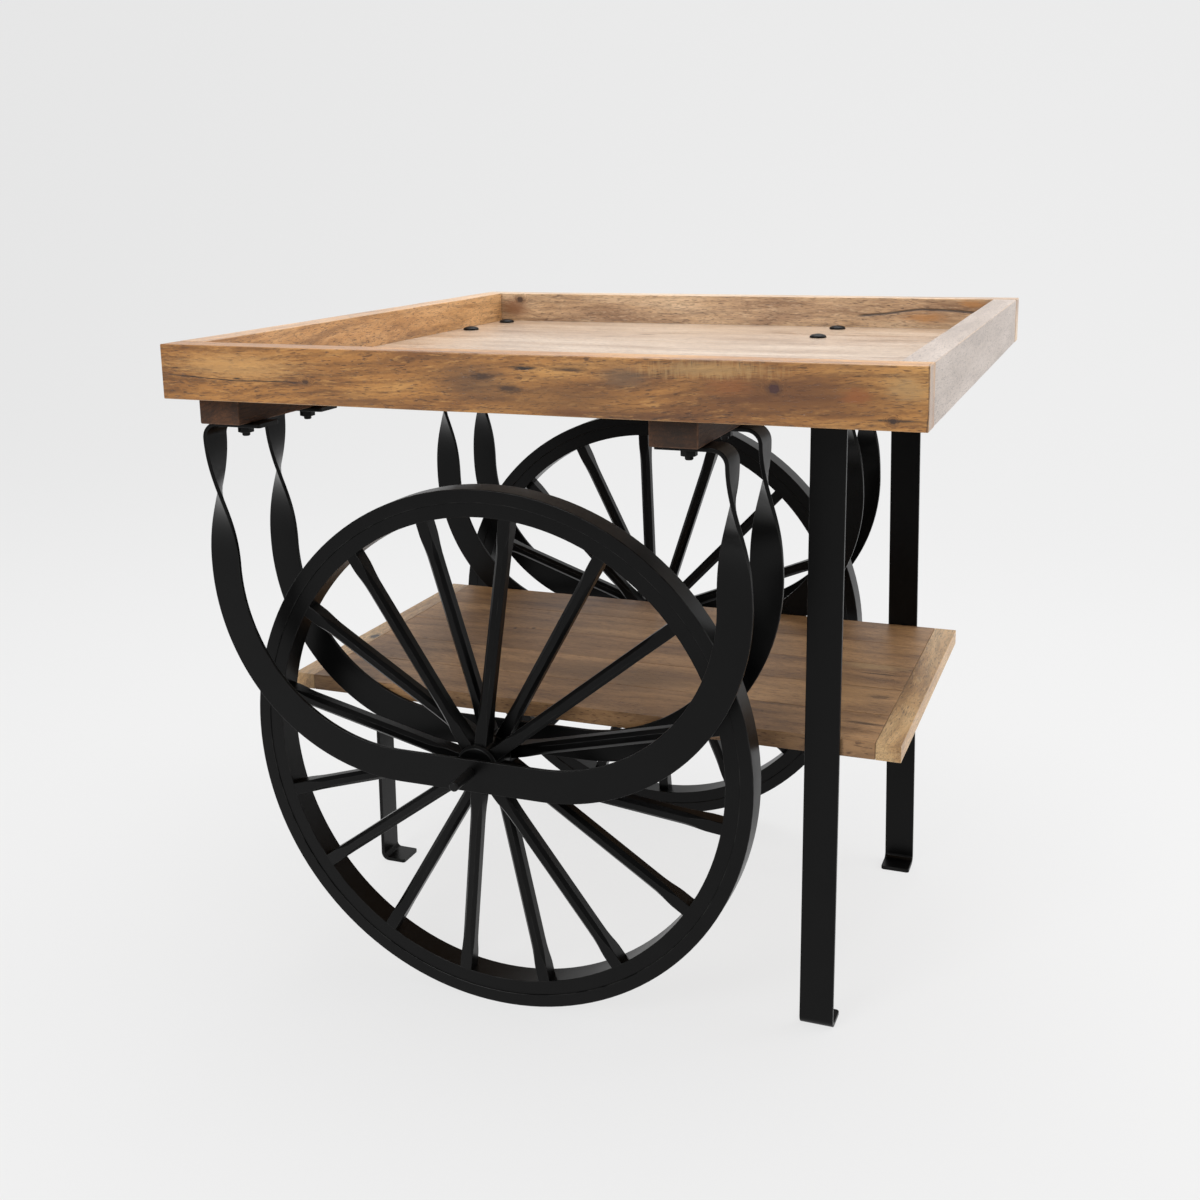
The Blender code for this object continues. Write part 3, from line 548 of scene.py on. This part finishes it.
def turned(outline, centre, axis, steps, closed=False):
    """Spins (radius, height) points once round an axis through the centre. A closed
    outline makes a ring; an open one starts and ends on the axis."""
    shape = bmesh.new()
    points = [(r, h, 0.0) if axis == "Y" else (r, 0.0, h) for r, h in outline]
    verts = [shape.verts.new(point) for point in points]
    pairs = list(zip(verts, verts[1:])) + ([(verts[-1], verts[0])] if closed else [])
    edges = [shape.edges.new(pair) for pair in pairs]
    bmesh.ops.spin(shape, geom=verts + edges, cent=(0.0, 0.0, 0.0),
                   axis=(0.0, 1.0, 0.0) if axis == "Y" else (0.0, 0.0, 1.0),
                   angle=math.tau, steps=steps, use_merge=True, use_duplicate=False)
    bmesh.ops.remove_doubles(shape, verts=shape.verts, dist=1e-6)
    bmesh.ops.translate(shape, vec=centre, verts=shape.verts)
    return shape


def softened(shape, edge, corner=25.0, segments=2):
    """Rounds every corner of a shape that turns by more than an angle; wear is 1 along
    the middle of each rounded corner."""
    bmesh.ops.recalc_face_normals(shape, faces=shape.faces)
    sharp = [e for e in shape.edges if e.is_manifold and e.calc_face_angle() > math.radians(corner)]
    made = bmesh.ops.bevel(shape, geom=sharp, offset=edge, offset_type="OFFSET", segments=segments,
                           profile=0.5, affect="EDGES", material=-1, clamp_overlap=True)
    rounded = set(made["faces"])
    edge_wear_and_highlight = shape.verts.layers.float.get("edge_wear_and_highlight") or shape.verts.layers.float.new("edge_wear_and_highlight")
    for vert in shape.verts:
        vert[edge_wear_and_highlight] = 1.0 if vert.link_faces and all(face in rounded for face in vert.link_faces) else 0.0
    return shape


def refined(source, edge, corner=50.0):
    """A copy of a CAD node with its flat triangles joined and its corners rounded."""
    shape = bmesh.new()
    shape.from_mesh(bpy.data.objects[source].data)
    bmesh.ops.remove_doubles(shape, verts=shape.verts, dist=1e-5)
    bmesh.ops.dissolve_limit(shape, angle_limit=math.radians(0.5), verts=shape.verts, edges=shape.edges)
    return softened(shape, edge, corner)


for side in ("left", "right"):
    for place in ("near_outer", "near_inner", "far_inner", "far_outer"):
        low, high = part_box(f"bolt_{side}_{place}")
        middle = (low + high) / 2.0
        head = (high.x - low.x) / 2.0
        dome = [(head * math.sin(step * math.pi / 16.0),
                 high.z - DOME_RISE * (1.0 - math.cos(step * math.pi / 16.0))) for step in range(9)]
        tail = [(head, high.z - HEAD_DEEP), (SHANK_R, high.z - HEAD_DEEP), (SHANK_R, low.z + TIP_CUT),
                (SHANK_R - TIP_CUT, low.z), (0.0, low.z)]
        bolt = turned(dome + tail, (middle.x, middle.y, 0.0), "Z", 32)
        even(piece(f"domed_bolt_{side}_{place}", bolt, bolt_iron, "frame", "fastener_iron",
                   f"bolt_{side}_{place}"))
        even(piece(f"hex_nut_{side}_{place}", refined(f"nut_{side}_{place}", 0.0007, 40.0), bolt_iron,
                   "frame", "fastener_iron", f"nut_{side}_{place}"))

# ---- Wheels ---------------------------------------------------------------------
# Two cart wheels of black iron: an outer tyre round an inner rim, and sixteen hand-set
# square spokes with stopped chamfers, in two rows at the hub. Each turns on its axle.
wheel_iron = black_iron("satin_black_forged_iron_wheel", "#040404", "#080808", 0.32, 0.10)
WHEEL_STEPS = 144
RIM_DEEP = 0.0185
HUB_OUTLINE = (
    (0.0063, -0.034), (0.0245, -0.034), (0.0275, -0.031), (0.0275, -0.009), (0.0262, -0.007),
    (0.0262, 0.007), (0.0275, 0.009), (0.0275, 0.031), (0.0245, 0.034), (0.0063, 0.034),
)
SPOKE_WIDE = 0.016
SPOKE_DEEP = 0.020
CHAMFER = 0.0045
STOP = 0.0006
HUB_ROW = 0.0195
RIM_OUTSET = 0.006
HUB_OUTSET = {"near": 0.0225, "far": 0.0}
SPOKE_START = {"near": 14.0, "far": 2.0}
# How far each spoke stands from even spacing, in degrees.
SPOKE_STRAY = {
    "near": (-0.5, 1.5, 1.5, 3.0, 2.0, 1.0, -1.5, -1.0, 2.5, 0.0, 0.0, -0.5, -2.0, -4.0, -2.0, -1.5),
    "far": (0.0, -2.0, -0.5, 1.5, 1.5, 0.5, 0.0, 0.0, 0.0, 0.0, 0.0, 0.0, 0.0, 0.0, 0.0, 0.0),
}


def spoke_section(radius, angle, middle_y, cut):
    """An eight-sided section across a spoke, square but for its cut corners."""
    along = Vector((math.cos(angle), 0.0, math.sin(angle)))
    side = Vector((-math.sin(angle), 0.0, math.cos(angle)))
    wide = SPOKE_WIDE / 2.0
    deep = SPOKE_DEEP / 2.0
    corners = [
        (wide, deep - cut), (wide - cut, deep), (cut - wide, deep), (-wide, deep - cut),
        (-wide, cut - deep), (cut - wide, -deep), (wide - cut, -deep), (wide, cut - deep),
    ]
    middle = along * radius + Vector((0.0, middle_y, 0.0))
    return [middle + side * u + Vector((0.0, v, 0.0)) for u, v in corners]


for end, sign in (("near", -1.0), ("far", 1.0)):
    low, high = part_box(f"wheel_{end}_tyre")
    centre = (low + high) / 2.0
    outer = (high.z - low.z) / 2.0
    half = (high.y - low.y) / 2.0
    inner_low, inner_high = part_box(f"wheel_{end}_felloe")
    rim_outer = (inner_high.z - inner_low.z) / 2.0
    rim_half = (inner_high.y - inner_low.y) / 2.0
    rim_inner = rim_outer - RIM_DEEP
    # The tyre is shrunk on, so it closes on the rim with no light between.
    seat = rim_outer - 0.0004
    tyre = turned([(seat, -half), (outer, -half), (outer, half), (seat, half)],
                  centre, "Y", WHEEL_STEPS, True)
    even(piece(f"tyre_{end}", softened(tyre, 0.0012, 50.0, 3), wheel_iron,
               f"wheel_{end}", "black_iron", f"wheel_{end}_tyre"))
    rim = turned([(rim_inner, -rim_half), (rim_outer, -rim_half), (rim_outer, rim_half),
                  (rim_inner, rim_half)], centre, "Y", WHEEL_STEPS, True)
    even(piece(f"rim_{end}", softened(rim, 0.0008, 50.0, 3), wheel_iron,
               f"wheel_{end}", "black_iron", f"wheel_{end}_felloe"))

    hub_y = sign * HUB_OUTSET[end]
    hub = turned(HUB_OUTLINE, centre + Vector((0.0, hub_y, 0.0)), "Y", 64, True)
    carrier = bpy.data.meshes.new("carrier")
    softened(hub, 0.0008).to_mesh(carrier)
    hub.free()
    whole = bmesh.new()
    whole.from_mesh(carrier)
    # Each spoke is let 1.2 mm into the rim.
    reach = rim_inner + 0.0012
    for index, stray in enumerate(SPOKE_STRAY[end]):
        angle = math.radians(SPOKE_START[end] + index * 22.5 + stray)
        row_y = hub_y + sign * HUB_ROW * (1.0 if index % 2 else -1.0)
        # Each station is a distance from the axle and how much is cut from the corners.
        stations = [(0.022, STOP), (0.046, STOP), (0.053, 0.0012), (0.062, 0.0030), (0.074, 0.0042)]
        stations += [(0.090 + step * 0.016, CHAMFER) for step in range(11)]
        stations += [(0.262, 0.0043), (0.272, 0.0032), (0.281, 0.0015), (0.288, STOP), (reach, STOP)]
        rows = [row_y + (sign * RIM_OUTSET - row_y) * min(r, rim_inner) / rim_inner for r, _ in stations]
        spoke = drawn([spoke_section(r, angle, y, cut) for (r, cut), y in zip(stations, rows)])
        bmesh.ops.translate(spoke, vec=centre, verts=spoke.verts)
        softened(spoke, 0.0005, 30.0, 2).to_mesh(carrier)
        spoke.free()
        whole.from_mesh(carrier)
    bpy.data.meshes.remove(carrier)
    even(piece(f"hub_and_spokes_{end}", whole, wheel_iron, f"wheel_{end}", "black_iron",
               f"wheel_{end}_hub_spokes"))

# ---- Axles ----------------------------------------------------------------------
# A fixed steel rod through each pair of straps, with a sleeve each side of the hub
# and a nut behind the inner strap. The sleeves keep the wheel off the straps.
axle_steel = black_iron("satin_black_axle_steel", "#0E0E0E", "#1C1C1B", 0.36, 0.05)
for end in ("near", "far"):
    for name, corner in ((f"axle_{end}", 30.0), (f"sleeve_{end}_outer", 50.0),
                         (f"sleeve_{end}_inner", 50.0), (f"axle_nut_{end}", 40.0)):
        even(piece(f"turned_{name}", refined(name, 0.0006, corner), axle_steel,
                   "frame", "fastener_iron", name))

# ---- Legs -----------------------------------------------------------------------
# Three legs of 42 mm flat bar, bent at the foot and at the top, painted satin black.
# Two stand at the right under the tray boards, and one under the shelf's left end.
LEG_T = 0.0055
LEG_HALF = 0.0425 / 2.0
LEG_BEND_R = 0.0095
LEG_FOOT = 0.040


def leg_bar(face, lean, inward, across, top, tab):
    """Stations of a leg whose outer face stands at a point of the floor: its foot and
    its top tab are bent inwards, and lean is the shift of its top."""
    crown = face + lean
    lift = LEG_T / 2.0
    corner = LEG_BEND_R + lift
    found = rounded_end(face + inward * LEG_FOOT + UP * lift, -inward, across)
    low = face + (inward + UP) * corner
    high = crown + inward * corner + UP * (top - corner)
    turns = [step / 12.0 * math.pi / 2.0 for step in range(13)]
    for turn in turns:
        place = low - inward * LEG_BEND_R * math.sin(turn) - UP * LEG_BEND_R * math.cos(turn)
        found.append((place, UP * math.sin(turn) - inward * math.cos(turn), across))
    for step in range(1, 20):
        run = step / 20.0
        place = low.lerp(high, run) - inward * LEG_BEND_R
        found.append((place, UP, across))
    for turn in turns:
        place = high - inward * LEG_BEND_R * math.cos(turn) + UP * LEG_BEND_R * math.sin(turn)
        found.append((place, UP * math.cos(turn) + inward * math.sin(turn), across))
    return found + flipped(rounded_end(crown + inward * tab + UP * (top - lift), -inward, across))


for name, face, lean, inward, across, tab in (
    ("leg_right_near", (0.3015, -0.2415), (0.006, 0.0), (0.0, 1.0), (1.0, 0.0), 0.060),
    ("leg_right_far", (0.3220, 0.2415), (-0.007, 0.0), (0.0, -1.0), (1.0, 0.0), 0.060),
    ("leg_left", (-0.448, 0.0), (0.004, 0.0), (1.0, 0.0), (0.0, 1.0), 0.055),
):
    stations = leg_bar(Vector((*face, 0.0)), Vector((*lean, 0.0)), Vector((*inward, 0.0)),
                       Vector((*across, 0.0)) * LEG_HALF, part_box(name)[1].z, tab)
    even(piece(f"bent_{name}", bent_bar(stations, LEG_T), bar_iron, "frame", "black_iron", name))

# ---- Shelf ----------------------------------------------------------------------
# Five mango boards nailed between two end cleats, waxed a duller brown than the tray.
# It rests on an angle bracket at each side leg and on the end leg's top tab.
BROWN = (("#BF9567", "#A67F55", "#876444"), ("#B68D61", "#9C764E", "#7D5C3E"))
SHELF_TOP = 0.384
HEART_UNDER = 0.016
for index in range(1, 6):
    # The heart of a board's rings runs just under its face, and dips, which draws arches.
    low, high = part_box(f"shelf_board_{index}")
    off_middle = 0.012 if index % 2 else -0.010
    heart = (index * 0.61, off_middle - (low.y + high.y) / 2.0, HEART_UNDER - high.z)
    shelf_wood = mango(
        f"mango_wood_shelf_board_{index}", (0.0, math.radians(3.0 if index % 2 else -2.5), 0.0), heart,
        BROWN[index % 2], vein="#6A4C32", ring=0.024, depth=0.8, streak=0.03, gloss=0.50, coat=0.10,
        worn="#8A6A4A",
        stains_and_painted_light=on_top(SHELF_TOP, (
            (0.343, -0.176, 0.045, 0.007, "#3E2C1E", 0.8), (0.330, 0.006, 0.050, 0.004, "#2C1D13", 0.9),
            # Painted light and shade: the pale strip is a painted highlight, the wide dark cloud across the
            # middle is the tray's painted shadow, and the wide pale cloud is the lit right end beside it.
            (0.310, 0.035, 0.080, 0.022, "#C2A070", 0.6), (0.290, -0.070, 0.130, 0.080, "#BC9362", 0.5),
            (-0.010, -0.110, 0.230, 0.090, "#644A30", 0.6),
        )),
        knots=on_top(SHELF_TOP, (
            (-0.232, 0.041, 0.003, 0.003, "#1C120C", 0.9), (-0.205, 0.050, 0.003, 0.003, "#1C120C", 0.9),
            (0.3436, -0.0795, 0.014, 0.007, "#5A4028", 0.6),
        )),
    )
    even(piece(f"shelf_plank_{index}", plank(f"shelf_board_{index}", 0.0005, 16, 0.0003, 30.0 + index),
               shelf_wood, "frame", "shelf_wood", f"shelf_board_{index}"))
cleat_wood = mango(
    "mango_wood_shelf_cleat", ALONG_Y, (0.2, 0.5, 0.3), ("#D8B583", "#BE9563", "#8E693F"),
    vein="#4A3220", ring=0.008, depth=0.5, streak=0.35, coat=0.15, worn="#C0A078",
    knots=on_top(SHELF_TOP, ((-0.4154, -0.0594, 0.006, 0.010, "#17100B", 0.95),)),
)
for side in ("left", "right"):
    even(piece(f"shelf_cap_{side}", plank(f"shelf_cleat_{side}", 0.0008, 12, 0.0003, 41.0), cleat_wood,
               "frame", "shelf_wood", f"shelf_cleat_{side}"))
for end in ("near", "far"):
    even(piece(f"angle_{end}", refined(f"shelf_bracket_{end}", 0.0005), bar_iron,
               "frame", "black_iron", f"shelf_bracket_{end}"))

# ---- Floor, lights and camera ---------------------------------------------------
# A plain pale studio of matt paper: a floor that sweeps up behind, soft boxes above
# and to the right, and a smaller one at the front left.
FLOOR_HALF = 9.0
FLOOR_FRONT = -6.0
SWEEP_FROM = 2.2
SWEEP_R = 2.0
WALL_TOP = 7.0
backdrop = bmesh.new()
edge = backdrop.edges.new([backdrop.verts.new((x, FLOOR_FRONT, 0.0)) for x in (-FLOOR_HALF, FLOOR_HALF)])
path = [(SWEEP_FROM, 0.0)]
for step in range(1, 13):
    turn = step * math.pi / 24.0
    path.append((SWEEP_FROM + SWEEP_R * math.sin(turn), SWEEP_R - SWEEP_R * math.cos(turn)))
path.append((SWEEP_FROM + SWEEP_R, WALL_TOP))
for y, z in path:
    made = bmesh.ops.extrude_edge_only(backdrop, edges=[edge])
    edge = next(item for item in made["geom"] if isinstance(item, bmesh.types.BMEdge)
                and all(isinstance(v, bmesh.types.BMVert) for v in item.verts)
                and all(v in made["geom"] for v in item.verts))
    for vert in edge.verts:
        vert.co.y = y
        vert.co.z = z
studio_mesh = bpy.data.meshes.new("studio_floor")
bmesh.ops.recalc_face_normals(backdrop, faces=backdrop.faces)
backdrop.to_mesh(studio_mesh)
backdrop.free()
studio_mesh.shade_smooth()
paper, tree, skin = surface("matt_white_studio_paper")
skin.inputs["Base Color"].default_value = linear("#606060")
skin.inputs["Roughness"].default_value = 0.9
skin.inputs["Specular IOR Level"].default_value = 0.0
skin.inputs["Emission Color"].default_value = linear("#FFFFFF")
skin.inputs["Emission Strength"].default_value = 0.73
studio_mesh.materials.append(paper)
studio = bpy.data.objects.new("studio_floor", studio_mesh)
bpy.context.scene.collection.objects.link(studio)

world = bpy.data.worlds.new("studio_air")
world.use_nodes = True
world.node_tree.nodes["Background"].inputs["Color"].default_value = linear("#F4F4F6")
world.node_tree.nodes["Background"].inputs["Strength"].default_value = 0.30
bpy.context.scene.world = world


def soft_box(name, place, target, size, power):
    """A large square lamp aimed at a point."""
    lamp = bpy.data.lights.new(name, "AREA")
    lamp.size = size
    lamp.energy = power
    item = bpy.data.objects.new(name, lamp)
    item.matrix_world = Matrix.Translation(place) @ (
        (Vector(target) - Vector(place)).to_track_quat("-Z", "Y").to_matrix().to_4x4())
    bpy.context.scene.collection.objects.link(item)


soft_box("soft_box_top", (0.2, 0.4, 3.4), (0.0, 0.0, 0.4), 3.0, 118.0)
soft_box("soft_box_right", (3.2, 0.8, 1.6), (0.2, 0.0, 0.5), 2.2, 60.0)
soft_box("soft_box_front", (-1.2, -3.6, 2.4), (0.0, 0.0, 0.6), 1.6, 75.0)

# The camera stands at the front right, a little above the tray.
YAW = -0.360701
PITCH = 0.201889
ROLL = 0.014707
ahead = Vector((math.sin(YAW) * math.cos(PITCH), math.cos(YAW) * math.cos(PITCH), -math.sin(PITCH)))
level = Vector((math.cos(YAW), -math.sin(YAW), 0.0))
under = ahead.cross(level)
right = level * math.cos(ROLL) + under * math.sin(ROLL)
down = under * math.cos(ROLL) - level * math.sin(ROLL)
view = bpy.data.cameras.new("camera")
view.sensor_width = 36.0
view.lens = 41.818
view.shift_x = -0.02599
view.shift_y = -0.10077
view.clip_end = 60.0
camera = bpy.data.objects.new("camera", view)
camera.matrix_world = Matrix.Translation((0.649026, -1.787851, 1.025276)) @ Matrix(
    (right, -down, -ahead)).transposed().to_4x4()
bpy.context.scene.collection.objects.link(camera)
bpy.context.scene.camera = camera
bpy.context.scene.view_settings.view_transform = "Standard"
